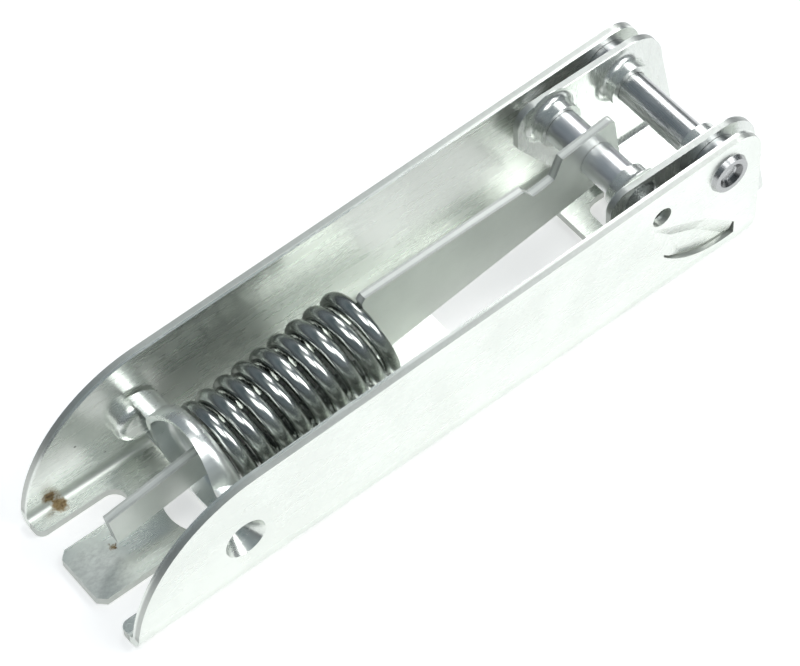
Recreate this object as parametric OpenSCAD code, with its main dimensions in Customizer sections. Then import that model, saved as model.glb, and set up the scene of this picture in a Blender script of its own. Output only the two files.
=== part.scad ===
// Spring hinge: a folded channel that carries a riveted lever bracket, which a stamped
// rod links to a compression spring. The spring bears on a saddle that rocks on two
// dimples of the channel.
// X runs along the channel, from its forked nose to the lever, Y across it and Z up.
// The origin lies on the underside of the base, at mid length and mid width.

/* [Channel] */
// Length of the channel from nose to heel
channel_len = 120; // [112:1:150]
// Width over both walls
channel_w = 30; // [29.6:0.2:34]
// Thickness of the channel's sheet
sheet_t = 1.5; // [1.3:0.1:1.6]
// Radius inside the two long folds
fold_r = 1; // [0.6:0.1:1.2]
// Height of the walls at the heel
heel_wall_h = 26; // [25:0.5:29]
// Radius of the swept nose of each wall
nose_r = 24; // [23.5:0.5:26]
// How far the centre of that sweep lies under the base
nose_drop = 1; // [0.5:0.1:1.5]
// Radius of each wall's upper corner at the heel
heel_top_r = 5; // [3:0.5:6]
// Radius of each wall's lower corner at the heel
heel_low_r = 4.5; // [3:0.5:5]
// Distance from the pivot axis to the heel
pivot_to_heel = 6.75; // [6:0.25:9]
// Height of the pivot axis over the underside
pivot_h = 19.8; // [19.6:0.1:20.4]

/* [Base cut-outs] */
// Width of the middle tongue at the nose
tongue_w = 11; // [9:0.5:12]
// Width of each slot beside the tongue
fork_slot_w = 4.6; // [4:0.2:5]
// Length of each slot beside the tongue
fork_slot_len = 14.1; // [10:0.1:15]
// Chamfer on the tongue's corners
tongue_chamfer = 1.3; // [0.5:0.1:2]
// Radius on the tips of the two outer prongs
prong_r = 1.5; // [1:0.1:2.5]
// Radius of the round hole under the saddle
saddle_hole_r = 7.5; // [6:0.1:8]
// Distance from the nose to the middle of that hole
saddle_hole_at = 24.2; // [23:0.1:25]
// Distance from the nose to the long window
window_at = 69.9; // [66:0.1:72]
// Length of the long window
window_len = 28.1; // [24:0.1:28.5]
// Width of the long window
window_w = 16; // [14:0.5:18]
// Radius of the window's corners
window_corner = 0.8; // [0.5:0.1:2]
// Distance from the pivot axis forward to the end notch
notch_ahead = 11.65; // [11:0.05:12]
// Width of the end notch
notch_w = 10.4; // [8:0.2:12]
// Radius of the end notch's corners
notch_corner = 2.8; // [1.5:0.1:3.5]
// Distance from the pivot axis forward to the end of the base
base_end_ahead = 7.1; // [7:0.1:8.5]
// Distance from the pivot axis forward to the slots for the ears
ear_slot_ahead = 10.8; // [10.6:0.1:11.2]

/* [Wall features] */
// Radius of each saddle dimple
dimple_r = 3.8; // [3.4:0.1:3.9]
// How far each dimple stands into the channel
dimple_h = 2.6; // [2:0.1:2.8]
// Distance from the nose to the dimples
dimple_at = 20.35; // [19:0.05:22]
// Height of the dimples over the underside
dimple_z = 10.2; // [9.8:0.1:10.6]
// Radius of the locking hole in each wall
lock_hole_r = 1.8; // [1.2:0.1:2]
// Distance from the pivot axis forward to the locking holes
lock_hole_ahead = 13.35; // [13:0.05:13.6]
// Radius of the lanced pad's round edge, struck from the pivot axis
pad_r = 16.1; // [15.8:0.1:16.4]
// How far each pad is pressed into the channel
pad_in = 1; // [0.8:0.1:1.2]
// Width of the slope between wall and pad
pad_ramp = 2.8; // [2:0.1:3.2]
// Width of the sheared gap round the pad
pad_gap = 0.35; // [0.2:0.05:0.5]

/* [Lever bracket] */
// Width over both ears
lever_w = 22.8; // [22.4:0.2:23]
// Thickness of the bracket's sheet
lever_t = 1.2; // [1:0.1:1.3]
// Height of the ears above the pivot axis
ear_up = 5.9; // [5.5:0.1:6.5]
// How far the ears reach in front of the pivot axis
ear_front = 20.5; // [20.2:0.1:20.7]
// How far the foot of the bracket reaches behind the pivot axis
foot_back = 11.5; // [10:0.25:12]
// Depth of the drawn collars inside the ears
collar_depth = 2.8; // [2:0.1:3]
// Radius over the collars at their rims
collar_r = 3.9; // [3.7:0.1:4.1]

/* [Pins and spacers] */
// Radius of the pivot pin
pivot_r = 2.7; // [2.4:0.05:2.8]
// Radius of the pivot pin's riveted ends
rivet_r = 3.55; // [3.3:0.05:4]
// Thickness of the pivot pin's riveted ends
rivet_h = 0.8; // [0.6:0.1:1.2]
// Radius of the washers between ears and walls
washer_r = 4.6; // [4:0.1:6]
// Radius of the roller pin
roller_r = 2.4; // [2:0.1:2.5]
// How far the roller pin's riveted ends stand out of the ears
roller_out = 0.8; // [0.5:0.1:0.8]
// Radius of the spacer tubes
tube_r = 3.05; // [2.8:0.05:3.4]
// Distance from the pivot axis forward to the roller pin, closed
roller_ahead = 14.25; // [14:0.05:14.5]
// Height of the roller pin above the pivot axis, closed
roller_above = 1.5; // [1:0.1:1.7]

/* [Rod] */
// Thickness of the rod's plate
rod_t = 1.5; // [1.2:0.1:1.8]
// Height of the rod's tail
tail_h = 6.4; // [5.5:0.1:6.6]
// Length of the tail in front of the dimples' axis
tail_out = 13.8; // [10:0.1:16]
// Height of the shoulder above the rod's axis
shoulder_up = 9.1; // [8:0.1:9.5]
// Height of the shoulder below the rod's axis
shoulder_down = 6.9; // [6:0.1:7]
// Height of the eye end above the rod's axis
eye_up = 5.8; // [5:0.1:6.4]
// Height of the eye end below the rod's axis
eye_down = 6.3; // [5:0.1:6.4]
// Length of the eye end behind the roller pin
eye_back = 4.4; // [3.8:0.1:5]

/* [Spring and saddle] */
// Thickness of the spring's wire
wire_d = 2.9; // [2.5:0.05:2.9]
// Outer radius of the spring
spring_r = 8.1; // [7.8:0.1:8.1]
// Length of the spring, closed
spring_len = 29.2; // [29:0.1:30]
// Number of turns of the spring
spring_turns = 8.7; // [8.55:0.05:8.7]
// Rise of the closed end turns, as a part of the pitch
closed_rise = 0.75; // [0.75:0.01:0.9]
// Depth of the wire's middle at the ground tip of each end turn
ground_in = 0.2; // [0.1:0.1:0.4]
// Thickness of the saddle's sheet
saddle_t = 1.1; // [1:0.1:1.2]
// Outer radius of the saddle's cup
cup_r = 9.8; // [9.2:0.1:10]
// Radius round the bottom of the cup
cup_corner = 2.4; // [1.8:0.1:2.6]
// How far the saddle's front edges lie behind the dimples' axis
saddle_edge = 0.5; // [0.2:0.1:1]
// Depth of the arch in the saddle's upper front edge
saddle_arch = 1.7; // [1:0.1:2.2]

/* [Clearances] */
// Radial play of a pin that turns in its bore
running_play = 0.06; // [0.03:0.01:0.1]
// Radial play of a riveted pin in its hole
rivet_play = 0.02; // [0.01:0.01:0.04]
// End play between stacked pieces
end_play = 0.05; // [0.03:0.01:0.1]
// Height of the bracket's foot over the level of the base
foot_gap = 0.2; // [0.1:0.05:0.3]
// Play between the dimples and the saddle
saddle_play = 0.3; // [0.3:0.05:0.4]
// Play between the saddle's ends and the walls
saddle_side = 0.6; // [0.3:0.1:0.9]
// Play between spring and saddle, used up as the rod passes its dead centre
spring_play = 0.45; // [0.45:0.05:0.6]
// Play of the tail above and below in the saddle's slot
slot_rise = 1.6; // [1:0.1:1.6]
// Play of the tail on each side in the saddle's slot
slot_side = 0.3; // [0.2:0.05:0.4]

/* [Hidden] */
$fn = 64;
over = 1;
far = 60;
near_side = -1;
far_side = 1;
nose_x = -channel_len / 2;
heel_x = channel_len / 2;
pivot_x = heel_x - pivot_to_heel;
wall_in = channel_w / 2 - sheet_t;
flat_half = wall_in - fold_r;
dimple_x = nose_x + dimple_at;
roller_x = pivot_x - roller_ahead;
roller_z = pivot_h + roller_above;
rod_angle = atan2(roller_z - dimple_z, roller_x - dimple_x);
rod_span = norm([roller_x - dimple_x, roller_z - dimple_z]);
ear_out = lever_w / 2;
ear_in = ear_out - lever_t;
collar_tip = ear_in - collar_depth;
foot_z = sheet_t + foot_gap;
saddle_in = dimple_r + saddle_play;
saddle_back = saddle_in + saddle_t;
saddle_half = wall_in - saddle_side;
spring_from = saddle_back + spring_play;
shoulder_at = spring_from + spring_len;
tongue_edge = tongue_w / 2;
prong_edge = tongue_edge + fork_slot_w;

// Stands a shape drawn in X and Z up as a slab of the given width, centred across Y
module across(width)
    rotate([90, 0, 0]) linear_extrude(width, center = true) children();

// Lays a body turned about Z down so that its axis runs across the channel
module lay_across() rotate([90, 0, 0]) children();

// Puts a body on the inner face of a wall, its Z pointing into the channel
module on_wall(side, x, z)
    translate([x, side * wall_in, z]) rotate([side * 90, 0, 0]) children();

// Puts a body on the rod's axis: X along the rod, measured from the dimples' axis
module on_rod_axis()
    translate([dimple_x, 0, dimple_z]) rotate([0, -rod_angle, 0]) children();

// Folded sheet seen end-on: a floor, two walls and the round folds between them
module folded_section(width, height, thick, inner_r)
    difference() {
        round_floor(width, height, inner_r + thick);
        translate([0, thick]) round_floor(width - 2 * thick, height, inner_r);
    }

module round_floor(width, height, r) {
    translate([-width / 2, r]) square([width, height - r]);
    translate([r - width / 2, 0]) square([width - 2 * r, r]);
    for (side = [near_side, far_side])
        translate([side * (width / 2 - r), r]) circle(r);
}

// Opening with four round corners, from its front edge back
module round_window(from, length, width, r) {
    translate([from + r, -width / 2]) square([length - 2 * r, width]);
    translate([from, r - width / 2]) square([length, width - 2 * r]);
    for (x = [from + r, from + length - r])
        for (y = [r - width / 2, width / 2 - r])
            translate([x, y]) circle(r);
}

// Waste outside a rounded corner; turn 0 is the corner towards plus X and plus Y
module corner_waste(centre, r, turn)
    translate(centre) rotate(turn) difference() {
        square(r + over);
        circle(r);
    }

// Side view of a wall: swept nose, top edge rising to the heel, round heel corners
module wall_side() {
    centre = [nose_x + nose_r, -nose_drop];
    reach = [heel_x, heel_wall_h] - centre;
    slope = atan2(reach[1], reach[0]) - asin(nose_r / norm(reach));
    touch = centre + nose_r * [-sin(slope), cos(slope)];
    corner_z = heel_wall_h - heel_top_r * tan(slope) - heel_top_r / cos(slope);
    difference() {
        union() {
            intersection() {
                translate(centre) circle(nose_r, $fn = 160);
                translate([nose_x - over, 0]) square([touch[0] - nose_x + over, far]);
            }
            polygon([[touch[0], 0], [heel_x, 0], [heel_x, heel_wall_h], touch]);
        }
        corner_waste([heel_x - heel_top_r, corner_z], heel_top_r, 0);
        corner_waste([heel_x - heel_low_r, heel_low_r], heel_low_r, -90);
    }
}

// Everything that is punched out of the base, seen from above
module base_cuts() {
    for (side = [near_side, far_side]) {
        slot_mid = side * (tongue_edge + fork_slot_w / 2);
        round_end = nose_x + fork_slot_len - fork_slot_w / 2;
        translate([nose_x - over, slot_mid - fork_slot_w / 2])
            square([round_end - nose_x + over, fork_slot_w]);
        translate([round_end, slot_mid]) circle(fork_slot_w / 2);
        translate([nose_x, side * tongue_edge]) rotate(45)
            square(tongue_chamfer * sqrt(2), center = true);
        corner_waste([nose_x + prong_r, side * (prong_edge + prong_r)], prong_r, side > 0 ? 180 : 90);
        ear_slot(side);
    }
    translate([nose_x + saddle_hole_at, 0]) circle(saddle_hole_r);
    round_window(nose_x + window_at, window_len, window_w, window_corner);
    round_window(pivot_x - notch_ahead, notch_ahead, notch_w, notch_corner);
    translate([pivot_x - base_end_ahead, -flat_half]) square([far, 2 * flat_half]);
}

// Slot in the base that the lower edge of one ear swings through
module ear_slot(side) {
    inner = ear_in - 0.3;
    translate([pivot_x - ear_slot_ahead, side > 0 ? inner : -flat_half])
        square([ear_slot_ahead, flat_half - inner]);
}

// Dimple drawn into the channel: round shoulder outside, tapered hollow behind
module dimple_body()
    rotate_extrude() {
        shoulder_r = 1.5;
        square([dimple_r - shoulder_r, dimple_h]);
        translate([0, -0.1]) square([dimple_r, dimple_h - shoulder_r + 0.1]);
        translate([dimple_r - shoulder_r, dimple_h - shoulder_r]) circle(shoulder_r);
    }

module dimple_hollow() {
    mouth_r = dimple_r - 0.2;
    end_r = dimple_r - 2;
    depth = sheet_t + dimple_h - 1.1;
    translate([0, 0, -sheet_t]) cylinder(h = depth, r1 = mouth_r, r2 = end_r);
    translate([0, 0, -sheet_t - over]) cylinder(h = over + 0.01, r = mouth_r);
}

// Corners of the pad about the pivot axis: its bend lines run from low to top, knee and rear
pad_low = [-12.6, -10.1];
pad_top = [-15.4, -1.8];
pad_knee = [-4, -7.9];
pad_rear = [1.65, -13.4];

// Side view of the pad, seen from the near side; grow widens it past its sheared edges
module pad_side(grow)
    intersection() {
        circle(pad_r + grow);
        polygon([pad_top, pad_knee, pad_rear, [pad_rear[0] + grow, pad_rear[1] - grow],
                 [pad_rear[0] + grow, -far], [pad_low[0], -far], pad_low]);
    }

// Room inside the near wall's outer face, bent inwards along one line to the pad's depth
module bend_in(from, to) {
    along = atan2(to[1] - from[1], to[0] - from[0]);
    translate([from[0], 0, from[1]]) rotate([0, 90 - along, 0])
        linear_extrude(3 * far, center = true)
            polygon([[-over, 0], [0, 0], [pad_ramp, pad_in], [far, pad_in], [far, far], [-over, far]]);
}

module pad_block(grow)
    intersection() {
        across(far) pad_side(grow);
        union() {
            bend_in(pad_low, pad_top);
            bend_in(pad_top, pad_knee);
            bend_in(pad_knee, pad_rear);
        }
    }

// Sheet of the pad, its outer face level with Y = 0 along the bend lines
module pad_sheet()
    difference() {
        pad_block(0);
        translate([0, sheet_t, 0]) pad_block(2 * over);
    }

module channel() color([0.78, 0.80, 0.80]) {
    difference() {
        union() {
            difference() {
                intersection() {
                    translate([nose_x - over, 0, 0]) rotate([90, 0, 90])
                        linear_extrude(channel_len + 2 * over)
                            folded_section(channel_w, far, sheet_t, fold_r);
                    across(channel_w + over) wall_side();
                }
                translate([pivot_x, 0, pivot_h]) across(channel_w + over) pad_side(pad_gap);
            }
            for (side = [near_side, far_side]) {
                on_wall(side, dimple_x, dimple_z) dimple_body();
                translate([pivot_x, side * channel_w / 2, pivot_h])
                    mirror([0, side > 0 ? 1 : 0, 0]) pad_sheet();
            }
        }
        translate([0, 0, -over]) linear_extrude(sheet_t + 1.5 * over) base_cuts();
        translate([pivot_x, 0, pivot_h]) lay_across()
            cylinder(h = channel_w + over, r = pivot_r + rivet_play, center = true);
        translate([pivot_x - lock_hole_ahead, 0, pivot_h]) lay_across()
            cylinder(h = channel_w + over, r = lock_hole_r, center = true, $fn = 32);
        for (side = [near_side, far_side])
            on_wall(side, dimple_x, dimple_z) dimple_hollow();
    }
}

// Side view of the bracket about the pivot axis: ears with cut-away front, and the foot
module lever_side() {
    front_r = 3.5;
    back_r = 7.2;
    back_mid = [1.6, ear_up - back_r];
    foot_down = foot_z - pivot_h;
    translate([front_r - ear_front, ear_up - front_r]) circle(front_r);
    translate(back_mid) circle(back_r);
    polygon([[-ear_front, ear_up - front_r], [-ear_front, -1.8], [-13.75, -11.5], [-6.75, foot_down],
             [foot_back, foot_down], [foot_back, foot_down + 2.5], [back_mid[0] + back_r, back_mid[1]],
             [back_mid[0], ear_up], [front_r - ear_front, ear_up]]);
}

// Collar drawn out of an ear, standing on the ear's outer face with its Z inwards
module collar_body()
    rotate_extrude() {
        root_r = 1.3;
        square([collar_r, lever_t + collar_depth]);
        difference() {
            translate([0, lever_t - 0.1]) square([collar_r + root_r, root_r + 0.1]);
            translate([collar_r + root_r, lever_t + root_r]) circle(root_r);
            translate([collar_r + root_r, -over]) square(far);
        }
    }

module collar_bore(r)
    rotate_extrude() {
        flare_r = 1.6;
        translate([0, -over]) square([r, far]);
        difference() {
            translate([0, -over]) square([r + flare_r, flare_r + over]);
            translate([r + flare_r, flare_r]) circle(flare_r);
        }
    }

module on_ear(side, x, z)
    translate([x, side * ear_out, z]) rotate([side * 90, 0, 0]) children();

module lever_bracket() color([0.72, 0.74, 0.76])
    difference() {
        union() {
            intersection() {
                translate([pivot_x - far / 2, 0, foot_z]) rotate([90, 0, 90])
                    linear_extrude(far) folded_section(lever_w, far, lever_t, fold_r);
                translate([pivot_x, 0, pivot_h]) across(lever_w + over) lever_side();
            }
            for (side = [near_side, far_side]) {
                on_ear(side, pivot_x, pivot_h) collar_body();
                on_ear(side, roller_x, roller_z) collar_body();
            }
        }
        for (side = [near_side, far_side]) {
            on_ear(side, pivot_x, pivot_h) collar_bore(pivot_r + running_play);
            on_ear(side, roller_x, roller_z) collar_bore(roller_r + running_play);
        }
    }

// Pin riveted over at both walls, with the punch's crater in each end
module pivot_pin() color([0.66, 0.67, 0.68])
    translate([pivot_x, 0, pivot_h]) lay_across()
        difference() {
            union() {
                cylinder(h = channel_w, r = pivot_r, center = true);
                for (turn = [0, 180])
                    rotate([turn, 0, 0]) translate([0, 0, channel_w / 2])
                        cylinder(h = rivet_h, r1 = rivet_r, r2 = rivet_r - 0.35);
            }
            for (turn = [0, 180])
                rotate([turn, 0, 0]) translate([0, 0, channel_w / 2 + rivet_h])
                    crater(rivet_r - 1.3, 0.9);
        }

module crater(r, depth)
    rotate([180, 0, 0]) translate([0, 0, -over]) {
        cylinder(h = over + 0.01, r = r);
        translate([0, 0, over]) cylinder(h = depth, r1 = r, r2 = r - 0.8);
    }

// Washer that fills the room between one ear and its wall
module washer(side)
    translate([pivot_x, side * (ear_out + wall_in) / 2, pivot_h]) lay_across()
        difference() {
            cylinder(h = wall_in - ear_out - 2 * end_play, r = washer_r, center = true);
            cylinder(h = far, r = pivot_r + running_play, center = true);
        }

module washer_near() color([0.60, 0.61, 0.62]) washer(near_side);

module washer_far() color([0.60, 0.61, 0.62]) washer(far_side);

// Pin whose heads are riveted into the mouths of the two front collars
module roller_pin() color([0.70, 0.71, 0.72])
    translate([roller_x, 0, roller_z]) lay_across() rotate_extrude() {
        neck_at = ear_out - 0.45;
        head_r = roller_r + 0.48;
        tip_r = roller_r - 0.6;
        half = ear_out + roller_out;
        polygon([[0, -half], [tip_r, -half], [head_r, -ear_out], [head_r, -neck_at], [roller_r, -neck_at],
                 [roller_r, neck_at], [head_r, neck_at], [head_r, ear_out], [tip_r, half], [0, half]]);
    }

// Tube between one collar's rim and the rod's eye
module spacer_tube(side) {
    from = rod_t / 2 + end_play;
    length = collar_tip - end_play - from;
    translate([roller_x, side * (from + length / 2), roller_z]) lay_across()
        difference() {
            cylinder(h = length, r = tube_r, center = true);
            cylinder(h = far, r = roller_r + running_play, center = true);
        }
}

module spacer_tube_near() color([0.80, 0.81, 0.82]) spacer_tube(near_side);

module spacer_tube_far() color([0.80, 0.81, 0.82]) spacer_tube(far_side);

// Side view of the rod: thin tail, tapering shoulder, dip and eye end
module rod_side() {
    end_x = rod_span + eye_back;
    taper_end = [rod_span - 13.7, 5.2];
    dip_from = rod_span - 12.2;
    dip_to = rod_span - 8;
    dip_up = 2.4;
    rise_end = rod_span - 5.9;
    corner_r = 0.8;
    difference() {
        polygon([[-tail_out, -tail_h / 2], [-tail_out, tail_h / 2], [shoulder_at, tail_h / 2],
                 [shoulder_at, shoulder_up - corner_r], [shoulder_at + corner_r, shoulder_up], taper_end,
                 [dip_from, dip_up], [dip_to, dip_up], [rise_end, eye_up], [end_x, eye_up],
                 [end_x, -eye_down], [shoulder_at, -shoulder_down], [shoulder_at, -tail_h / 2]]);
        corner_waste([end_x - corner_r, eye_up - corner_r], corner_r, 0);
        corner_waste([end_x - corner_r, corner_r - eye_down], corner_r, -90);
        translate([rod_span, 0]) circle(roller_r + running_play);
    }
}

module push_rod() color([0.70, 0.72, 0.73])
    on_rod_axis() across(rod_t) rod_side();

// Coil of round wire along X, its end turns rising less than the others and ground flat
module spring() color([0.45, 0.46, 0.47])
    on_rod_axis() translate([spring_from, 0, 0]) {
        sides = 14;
        per_turn = 30;
        steps = round(spring_turns * per_turn);
        pitch = (spring_len - 2 * ground_in) / (spring_turns - 1 + closed_rise);
        mean_r = spring_r - wire_d / 2;
        wire_r = wire_d / 2;
        points = [for (i = [0:steps]) for (k = [0:sides - 1])
            coil_point(i / steps * spring_turns, k * 360 / sides, pitch, mean_r, wire_r)];
        skin = [for (i = [0:steps - 1]) for (k = [0:sides - 1])
            [i * sides + k, i * sides + (k + 1) % sides,
             (i + 1) * sides + (k + 1) % sides, (i + 1) * sides + k]];
        first_end = [for (k = [sides - 1:-1:0]) k];
        last_end = [for (k = [0:sides - 1]) steps * sides + k];
        polyhedron(points, concat(skin, [first_end, last_end]), convexity = 10);
    }

// Point on the wire's skin, t turns along the coil and at angle a round the wire
function coil_point(t, a, pitch, mean_r, wire_r) =
    let (r = mean_r + wire_r * cos(a), start = -10,
         x = ground_in + coil_rise(t, pitch) + wire_r * sin(a))
    [min(max(x, 0), spring_len), r * cos(360 * t + start), r * sin(360 * t + start)];

// Each end half turn climbs at closed_rise of the pitch
function coil_rise(t, pitch) =
    let (slow = min(t, 0.5) + max(0, t - spring_turns + 0.5))
    pitch * (t - (1 - closed_rise) * slow);

// Drawn cup that the spring stands on, with a half tube on each side that hugs a dimple
// from behind. Its upper front edge is cut back in an arch.
module spring_saddle() color([0.74, 0.76, 0.77])
    on_rod_axis() {
        arch_half = 8;
        arch_r = (arch_half * arch_half + saddle_arch * saddle_arch) / (2 * saddle_arch);
        difference() {
            union() {
                difference() {
                    across(2 * saddle_half) saddle_side_view();
                    cup(cup_r - saddle_t, saddle_in, cup_corner - saddle_t, over);
                }
                difference() {
                    cup(cup_r, saddle_back, cup_corner, -saddle_edge);
                    cup(cup_r - saddle_t, saddle_in, cup_corner - saddle_t, over);
                }
            }
            translate([saddle_edge + saddle_arch - arch_r, 0, 0])
                cylinder(h = far, r = arch_r, $fn = 128);
            translate([0, -rod_t / 2 - slot_side, -tail_h / 2 - slot_rise])
                cube([far, rod_t + 2 * slot_side, tail_h + 2 * slot_rise]);
        }
    }

module saddle_side_view()
    difference() {
        circle(saddle_back, $fn = 96);
        circle(saddle_in, $fn = 96);
        translate([saddle_edge - far, -far / 2]) square([far, far]);
    }

// Solid cup along X with a rounded bottom, from the length ahead of the dimples' axis
module cup(r, bottom, corner, ahead)
    rotate([0, 90, 0]) rotate_extrude($fn = 128) {
        translate([0, -ahead]) square([r, bottom - corner + ahead]);
        translate([0, -ahead]) square([r - corner, bottom + ahead]);
        translate([r - corner, bottom - corner]) circle(corner);
    }

channel();
lever_bracket();
pivot_pin();
washer_near();
washer_far();
roller_pin();
spacer_tube_near();
spacer_tube_far();
push_rod();
spring();
spring_saddle();
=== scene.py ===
import math

import bpy
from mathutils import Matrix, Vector


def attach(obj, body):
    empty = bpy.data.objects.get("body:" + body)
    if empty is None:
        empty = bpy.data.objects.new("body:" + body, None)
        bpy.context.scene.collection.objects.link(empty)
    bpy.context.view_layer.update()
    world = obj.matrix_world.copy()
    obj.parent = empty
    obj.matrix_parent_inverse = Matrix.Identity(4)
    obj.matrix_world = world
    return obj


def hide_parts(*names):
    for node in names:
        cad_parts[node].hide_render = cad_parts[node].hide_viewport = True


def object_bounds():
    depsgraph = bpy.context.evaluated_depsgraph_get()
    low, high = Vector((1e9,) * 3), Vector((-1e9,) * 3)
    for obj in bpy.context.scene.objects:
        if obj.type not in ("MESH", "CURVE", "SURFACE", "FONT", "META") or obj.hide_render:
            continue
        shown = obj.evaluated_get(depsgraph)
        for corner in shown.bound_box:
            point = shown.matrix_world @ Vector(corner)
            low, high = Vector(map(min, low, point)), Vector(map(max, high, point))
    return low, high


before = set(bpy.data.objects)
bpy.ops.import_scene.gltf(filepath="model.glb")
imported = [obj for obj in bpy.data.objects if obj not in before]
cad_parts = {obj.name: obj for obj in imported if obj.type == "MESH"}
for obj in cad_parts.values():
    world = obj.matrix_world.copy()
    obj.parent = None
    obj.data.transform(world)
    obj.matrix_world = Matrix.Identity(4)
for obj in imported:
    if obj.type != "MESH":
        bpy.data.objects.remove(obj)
cad_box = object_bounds()

# Studio: the hinge lies on a white sheet under a soft box in a dim room, and is seen from
# above its forked nose through a long lens.
scene = bpy.context.scene
camera_data = bpy.data.cameras.new("camera")
camera_data.lens = 147.5
camera_data.sensor_width = 36
camera = bpy.data.objects.new("camera", camera_data)
camera.location = (-0.16957, -0.23565, 0.41083)
camera.rotation_euler = [math.radians(a) for a in (35.848, 2.001, -38.637)]
scene.collection.objects.link(camera)
scene.camera = camera


class Shade:
    """Output of a shader node that can stand in sums; other is a number or another Shade."""

    def __init__(self, finish, socket):
        self.finish = finish
        self.socket = socket

    def math(self, operation, first, second=0.0):
        return self.finish.node("ShaderNodeMath", {"operation": operation}, {0: first, 1: second})

    def __add__(self, other):
        return self.math("ADD", self, other)

    def __sub__(self, other):
        return self.math("SUBTRACT", self, other)

    def __rsub__(self, other):
        return self.math("SUBTRACT", other, self)

    def __mul__(self, other):
        return self.math("MULTIPLY", self, other)

    def __abs__(self):
        return self.math("ABSOLUTE", self)

    __radd__ = __add__
    __rmul__ = __mul__


class Finish:
    """One material, built node by node."""

    def __init__(self, name):
        self.material = bpy.data.materials.new(name)
        self.material.use_nodes = True
        self.tree = self.material.node_tree
        self.tree.nodes.clear()
        self.place = self.node("ShaderNodeTexCoord", {}, {}, "Object")

    def node(self, kind, settings, sockets, out=0):
        """Adds a node; settings are its properties, sockets its inputs, out the output that is used."""
        made = self.tree.nodes.new(kind)
        for name, value in settings.items():
            setattr(made, name, value)
        for name, value in sockets.items():
            if isinstance(value, Shade):
                self.tree.links.new(value.socket, made.inputs[name])
            else:
                made.inputs[name].default_value = value
        return Shade(self, made.outputs[out])

    def grain(self, scale, stretch=(1, 1, 1), detail=4.0, roughness=0.55, at=(0, 0, 0), turn=(0, 0, 0)):
        """Noise of about scale cells a metre, from 0 to 1; a large stretch makes it finer along that axis."""
        spot = self.node("ShaderNodeMapping", {}, {"Vector": self.place, "Location": at,
                                                   "Rotation": turn, "Scale": stretch})
        return self.node("ShaderNodeTexNoise", {}, {"Vector": spot, "Scale": scale, "Detail": detail,
                                                    "Roughness": roughness}, "Fac")

    def step(self, value, low, high):
        """0 below low, 1 above high, smooth between."""
        return self.node("ShaderNodeMapRange", {"interpolation_type": "SMOOTHSTEP"},
                         {"Value": value, "From Min": low, "From Max": high})

    def part(self, vector, axis):
        """X, Y or Z of a vector."""
        return self.node("ShaderNodeSeparateXYZ", {}, {0: vector}, axis)

    def away(self, centre):
        """Distance from a point of the frame, in metres."""
        return self.node("ShaderNodeVectorMath", {"operation": "DISTANCE"}, {0: self.place, 1: centre}, "Value")

    def off_axis(self, x, z):
        """Distance from a line across the channel, in metres."""
        flat = self.node("ShaderNodeVectorMath", {"operation": "MULTIPLY"}, {0: self.place, 1: (1, 0, 1)})
        return self.node("ShaderNodeVectorMath", {"operation": "DISTANCE"}, {0: flat, 1: (x, 0, z)}, "Value")

    def facing(self, axis):
        """How far the surface faces along an axis, whichever way, from 0 to 1."""
        return abs(self.part(self.node("ShaderNodeTexCoord", {}, {}, "Normal"), axis))

    def tint(self, mask, under, upper):
        """Colour under where mask is 0, upper where it is 1."""
        return self.node("ShaderNodeMix", {"data_type": "RGBA"},
                         {0: mask, 6: self.colour(under), 7: self.colour(upper)}, 2)

    def colour(self, value):
        return value if isinstance(value, Shade) else (*value, 1.0)

    def surface(self, colour, roughness, height, depth, **others):
        """Closes the material: height of 1 stands depth metres proud."""
        bump = self.node("ShaderNodeBump", {}, {"Strength": 1.0, "Distance": depth, "Height": height}, "Normal")
        sockets = {"Base Color": self.colour(colour), "Roughness": roughness, "Normal": bump}
        for name, value in others.items():
            sockets[name.replace("_", " ")] = value
        shader = self.node("ShaderNodeBsdfPrincipled", {}, sockets, "BSDF")
        end = self.tree.nodes.new("ShaderNodeOutputMaterial")
        self.tree.links.new(shader.socket, end.inputs["Surface"])
        return self.material


# The sheet of paper: white, matt, far wider than the view.
paper_mesh = bpy.data.meshes.new("paper")
reach = 2.5
paper_mesh.from_pydata([(-reach, -reach, 0), (reach, -reach, 0), (reach, reach, 0), (-reach, reach, 0)],
                       [], [(0, 1, 2, 3)])
paper = bpy.data.objects.new("paper", paper_mesh)
paper.location.z = cad_box[0][2] - 0.0002
scene.collection.objects.link(paper)
white_paper = Finish("white_paper")
paper_mesh.materials.append(white_paper.surface(
    (0.83, 0.83, 0.83), 0.9, white_paper.grain(900), 0.00001,
    Emission_Color=(1, 1, 1, 1), Emission_Strength=0.43))

# The room: dim at eye level, bright overhead, where the light comes through cloth.
world = bpy.data.worlds.new("room")
world.use_nodes = True
sky = world.node_tree
sky_place = sky.nodes.new("ShaderNodeTexCoord")
sky_height = sky.nodes.new("ShaderNodeSeparateXYZ")
sky_ramp = sky.nodes.new("ShaderNodeValToRGB")
sky_stops = [(0.0, (0.05, 0.055, 0.062)), (0.3, (0.12, 0.135, 0.15)), (0.55, (0.20, 0.23, 0.25)),
             (0.87, (0.12, 0.16, 0.185)), (1.0, (0.48, 0.51, 0.52))]
while len(sky_ramp.color_ramp.elements) < len(sky_stops):
    sky_ramp.color_ramp.elements.new(1.0)
for element, (height, tone) in zip(sky_ramp.color_ramp.elements, sky_stops):
    element.position = height
    element.color = (*tone, 1)
sky.links.new(sky_place.outputs["Generated"], sky_height.inputs[0])
sky.links.new(sky_height.outputs["Z"], sky_ramp.inputs[0])
sky.links.new(sky_ramp.outputs[0], sky.nodes["Background"].inputs["Color"])
scene.world = world
scene.view_settings.view_transform = "Standard"


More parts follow.
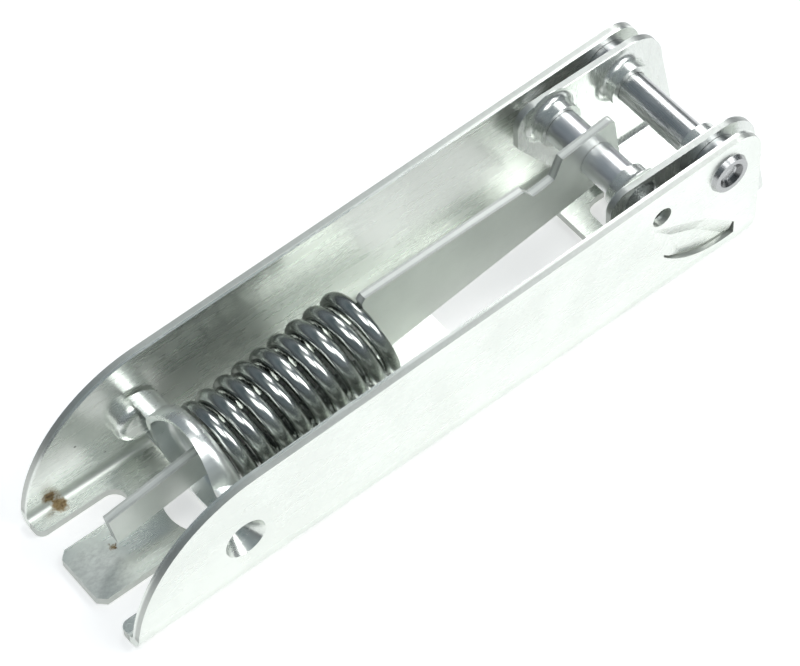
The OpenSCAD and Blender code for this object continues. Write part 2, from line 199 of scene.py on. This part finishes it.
def soft_box(name, place, width, height, watts):
    """Area lamp that faces the hinge."""
    data = bpy.data.lights.new(name, "AREA")
    data.shape = "RECTANGLE"
    data.size = width
    data.size_y = height
    data.energy = watts
    lamp = bpy.data.objects.new(name, data)
    lamp.location = place
    lamp.rotation_euler = (-Vector(place)).to_track_quat("-Z", "Y").to_euler()
    scene.collection.objects.link(lamp)


soft_box("box_above", (-0.08, -0.16, 0.98), 0.45, 0.45, 2.9)
soft_box("box_near_right", (0.50, -0.38, 0.74), 0.42, 0.5, 3.0)
soft_box("box_far_right", (0.57, 0.42, 0.70), 0.3, 0.5, 2.1)


# Channel: one blank of zinc-plated steel sheet, pierced, dimpled, lanced and folded in a
# press. The plating is pale and satin, with fine rolling marks and rubs. The sheared edges
# are duller. By the nose are a spot of rust in the fold and a smaller one on the tongue.
def zinc(name, bright, rough, seed, roll=(0.25, 6, 6), relief=0.00002, metallic=0.86,
         edge=None, bent=None, rust=(), worn=(), specks=()):
    """Zinc-plated sheet. roll is coarse along its rolling marks and relief their depth; edge(finish) masks
    sheared edges and bent(finish) folds; rust, worn and specks list (centre, reach)."""
    finish = Finish(name)
    cloud = finish.grain(90, at=(seed, 0, 0), detail=5)
    rolled = finish.grain(240, stretch=roll, at=(0, seed, 0))
    spangle = finish.grain(1400, detail=3, at=(0, 0, seed))
    rub = finish.step(finish.grain(420, stretch=(1, 7, 7), turn=(0.3, 0.2, 0.7), at=(seed, seed, 0)), 0.62, 0.72)
    colour = finish.tint(finish.step(cloud, 0.35, 0.7), tuple(c * 0.93 for c in bright), bright)
    colour = finish.tint(rub * 0.3, colour, tuple(c * 0.8 for c in bright))
    roughness = rough + (cloud - 0.5) * 0.12 + (rolled - 0.5) * 0.12 + rub * 0.06
    height = rolled * 0.5 + spangle * 0.35 + rub * -0.3
    if bent:
        roughness = roughness + bent(finish) * 0.22
    if edge:
        sheared = edge(finish)
        torn = finish.grain(1700, stretch=(1, 1, 1), detail=5, roughness=0.7, at=(seed, 0, 3))
        colour = finish.tint(sheared * (0.55 + torn * 0.45), colour, tuple(c * 0.52 for c in bright))
        roughness = roughness + sheared * 0.14
        height = height + sheared * torn * 2.5
    for centre, spread in worn:
        scraped = 1 - finish.step(finish.away(centre) + (cloud - 0.5) * spread, spread * 0.6, spread)
        score = finish.grain(620, stretch=(1, 1.8, 1), turn=(0, 0, 0.9), detail=6, roughness=0.7, at=(seed, 5, 0))
        colour = finish.tint(scraped * finish.step(score, 0.3, 0.7), colour, tuple(c * 0.7 for c in bright))
        roughness = roughness + scraped * 0.1
        height = height + scraped * score * 1.2
    for centre, spread in specks:
        colour = finish.tint(1 - finish.step(finish.away(centre), spread * 0.5, spread), colour, (0.09, 0.09, 0.085))
    if rust:
        ragged = (finish.grain(1500, detail=6, roughness=0.7) - 0.5) * 0.0022
        for centre, spread in rust:
            off = finish.away(centre) + ragged
            stain = 1 - finish.step(off, spread * 0.5, spread)
            dark = 1 - finish.step(off + ragged, spread * 0.02, spread * 0.6)
            ochre = finish.tint(finish.grain(1900), (0.19, 0.11, 0.03), (0.38, 0.26, 0.08))
            colour = finish.tint(stain * 0.92, colour, ochre)
            colour = finish.tint(dark * 0.75, colour, (0.075, 0.035, 0.012))
            roughness = roughness + stain * 0.4
            height = height + stain * 0.8
            metallic = metallic * (1 - stain)
    return finish.surface(colour, roughness, height, relief, Metallic=metallic)


def dress(node, material):
    """Gives a CAD node its finish."""
    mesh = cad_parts[node].data
    mesh.materials.clear()
    mesh.materials.append(material)


def channel_edge(finish):
    """1 on the torn outer part of the sheared edges: walls that don't face Y, base that doesn't face Z.
    The part of a wall's edge next to its inner face is burnished as bright as the face."""
    side = abs(finish.part(finish.place, "Y"))
    level = finish.part(finish.place, "Z")
    on_base = (1 - finish.step(side, 0.0126, 0.0128)) * (1 - finish.step(level, 0.0016, 0.0018))
    torn_part = finish.step(side, 0.0138, 0.0142) * finish.step(level, 0.002, 0.0026)
    return (torn_part * (1 - finish.step(finish.facing("Y"), 0.2, 0.4))
            + on_base * (1 - finish.step(finish.facing("Z"), 0.3, 0.6)))


def channel_fold(finish):
    """1 in the two long folds, where bending has left the plating matt."""
    side = abs(finish.part(finish.place, "Y"))
    return finish.step(side, 0.0120, 0.0126) * (1 - finish.step(finish.part(finish.place, "Z"), 0.0026, 0.0034))


zinc_bright = (0.885, 0.918, 0.868)
dress("channel", zinc("zinc_channel", zinc_bright, 0.27, 0.0, relief=0.000004, edge=channel_edge, bent=channel_fold,
                      rust=[((-0.0546, 0.0124, 0.0017), 0.0016), ((-0.0556, 0.0134, 0.0034), 0.0015),
                            ((-0.0529, 0.00135, 0.0015), 0.0007)],
                      worn=[((-0.0570, -0.0010, 0.0015), 0.0065)],
                      specks=[((-0.0497, 0.0135, 0.0111), 0.00026), ((-0.0450, 0.0135, 0.0053), 0.0002)]))

# Lever bracket: a second stamping, bent into a U and riveted between the walls. Its
# holes are drawn into collars, whose rims are torn, and its edges are sheared like the channel's.
def lever_edge(finish):
    """1 on the sheared edges of the ears and on the torn rims of the collars."""
    side = abs(finish.part(finish.place, "Y"))
    on_ear = finish.step(side, 0.0103, 0.0104) * finish.step(finish.part(finish.place, "Z"), 0.0045, 0.005)
    on_rim = (1 - finish.step(side, 0.0076, 0.0079)) * finish.step(side, 0.0068, 0.007)
    return on_ear * (1 - finish.step(finish.facing("Y"), 0.2, 0.4)) + on_rim * 0.1


dress("lever_bracket", zinc("zinc_lever", (0.79, 0.82, 0.785), 0.27, 3.0, roll=(6, 6, 0.25),
                            relief=0.000005, edge=lever_edge))


# Pins, washers and tubes: turned or cut from bright drawn steel, zinc-plated, with the
# marks of the draw die along them.
def drawn_steel(name, bright, rough, seed, riveted=None):
    """Drawn steel whose fine lines run along Y. riveted(finish) masks painted shade at a riveted end."""
    finish = Finish(name)
    draw = finish.grain(900, stretch=(5, 0.2, 5), at=(seed, 0, 0))
    cloud = finish.grain(160, at=(0, seed, 0))
    colour = finish.tint(finish.step(cloud, 0.3, 0.75), tuple(c * 0.88 for c in bright), bright)
    roughness = rough + (draw - 0.5) * 0.16 + (cloud - 0.5) * 0.1
    if riveted:
        # Painted shade: the crater and the rim of each riveted end are darkened for the shade they lie in.
        colour = finish.tint(riveted(finish) * (0.7 + cloud * 0.3), colour, tuple(c * 0.2 for c in bright))
    return finish.surface(colour, roughness, draw, 0.000012, Metallic=1.0)


def rivet_crater_shade(finish):
    """Painted shade: 1 on the rim and in the crater of each riveted end, but not on the crater's floor."""
    off = finish.off_axis(0.05325, 0.0198)
    outside = finish.step(abs(finish.part(finish.place, "Y")), 0.01502, 0.0151)
    return outside * finish.step(off, 0.0009, 0.0013) * (1 - 0.6 * finish.step(off, 0.0022, 0.0024))


# The pivot pin's riveted ends carry painted shade in and around their craters.
dress("pivot_pin", drawn_steel("pivot_steel", (0.64, 0.65, 0.65), 0.28, 1.0, riveted=rivet_crater_shade))
dress("roller_pin", drawn_steel("roller_steel", (0.76, 0.77, 0.78), 0.28, 2.0))
tube_steel = drawn_steel("tube_steel", (0.88, 0.89, 0.9), 0.33, 5.0)
for node in ("spacer_tube_near", "spacer_tube_far"):
    dress(node, tube_steel)
washer_steel = drawn_steel("washer_steel", (0.5, 0.51, 0.52), 0.3, 7.0)
for node in ("washer_near", "washer_far"):
    dress(node, washer_steel)

# Rod: blanked from plate and zinc-plated, so its two flat sides are satin. Its cut edge is
# duller, and smooth along the middle where the punch has burnished it.
def rod_edge(finish):
    """1 along both borders of the cut edge, less along its middle."""
    side = abs(finish.part(finish.place, "Y"))
    return (1 - finish.step(finish.facing("Y"), 0.3, 0.6)) * (0.35 + 0.65 * finish.step(side, 0.0002, 0.0005))


dress("push_rod", zinc("zinc_rod", (0.90, 0.93, 0.885), 0.36, 8.0, metallic=0.6, edge=rod_edge))

# Saddle: a cup and two half tubes drawn from one piece of thin sheet, brighter than the channel.
dress("spring_saddle", zinc("zinc_saddle", (0.92, 0.95, 0.92), 0.29, 11.0, relief=0.000004))

# Spring: nearly nine turns of oil-tempered wire, coiled cold, dark and glossy, the end
# turns closed and ground flat. The wire keeps the fine lines that the draw die left along it.
spring_turns = 8.7
spring_length = 0.0292
ground_in = 0.0002
wire_radius = 0.00145
coil_radius = 0.00665
closed_rise = 0.75
coil_pitch = (spring_length - 2 * ground_in) / (spring_turns - 1 + closed_rise)
rod_angle = math.atan2(0.0213 - 0.0102, 0.0390 + 0.03965)
coil_start = Vector((-0.03965, 0, 0.0102)) + 0.00565 * Vector((math.cos(rod_angle), 0, math.sin(rod_angle)))


def coil_point(turns):
    """Middle of the wire after so many turns, along the spring's own axis from its first end."""
    slow = min(turns, 0.5) + max(0.0, turns - spring_turns + 0.5)
    angle = math.radians(360 * turns - 10)
    return Vector((ground_in + coil_pitch * (turns - (1 - closed_rise) * slow),
                   coil_radius * math.cos(angle), coil_radius * math.sin(angle)))


def coil_mesh(rings_a_turn, sides):
    """Swept wire, ground off where it passes the end planes; its UV runs along and round the wire."""
    rings = round(spring_turns * rings_a_turn)
    points = []
    for ring in range(rings + 1):
        turns = ring / rings * spring_turns
        centre = coil_point(turns)
        inwards = -Vector((0, centre.y, centre.z)).normalized()
        for side in range(sides):
            angle = 2 * math.pi * side / sides
            point = centre + wire_radius * (math.sin(angle) * Vector((1, 0, 0)) - math.cos(angle) * inwards)
            point.x = min(max(point.x, 0.0), spring_length)
            points.append(point)
    faces = [(ring * sides + side, ring * sides + (side + 1) % sides,
              (ring + 1) * sides + (side + 1) % sides, (ring + 1) * sides + side)
             for ring in range(rings) for side in range(sides)]
    faces += [tuple(range(sides))[::-1], tuple(rings * sides + side for side in range(sides))]
    mesh = bpy.data.meshes.new("spring_coil")
    mesh.from_pydata(points, [], faces)
    mesh.polygons.foreach_set("use_smooth", [True] * (len(faces) - 2) + [False] * 2)
    mesh.set_sharp_from_angle(angle=math.radians(35))
    along = mesh.uv_layers.new(name="along")
    for face in range(rings * sides):
        ring, side = divmod(face, sides)
        for corner, (r, s) in enumerate(((ring, side), (ring, side + 1), (ring + 1, side + 1), (ring + 1, side))):
            along.data[4 * face + corner].uv = (r / rings_a_turn, s / sides)
    return mesh


coil = bpy.data.objects.new("spring_coil", coil_mesh(48, 20))
coil.location = coil_start
coil.rotation_euler = (0, -rod_angle, 0)
scene.collection.objects.link(coil)
wire = Finish("spring_wire")
wire_uv = wire.node("ShaderNodeTexCoord", {}, {}, "UV")
wire_spot = wire.node("ShaderNodeMapping", {}, {"Vector": wire_uv, "Scale": (1.5, 60, 1)})
die_lines = wire.node("ShaderNodeTexNoise", {}, {"Vector": wire_spot, "Scale": 1.0, "Detail": 3.0}, "Fac")
oil = wire.grain(220, detail=5)
coil.data.materials.append(wire.surface(
    wire.tint(wire.step(oil, 0.35, 0.7), (0.45, 0.47, 0.45), (0.62, 0.645, 0.62)),
    0.19 + (oil - 0.5) * 0.12 + (die_lines - 0.5) * 0.14, die_lines, 0.000012, Metallic=1.0))
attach(coil, "rod")
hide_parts("spring")
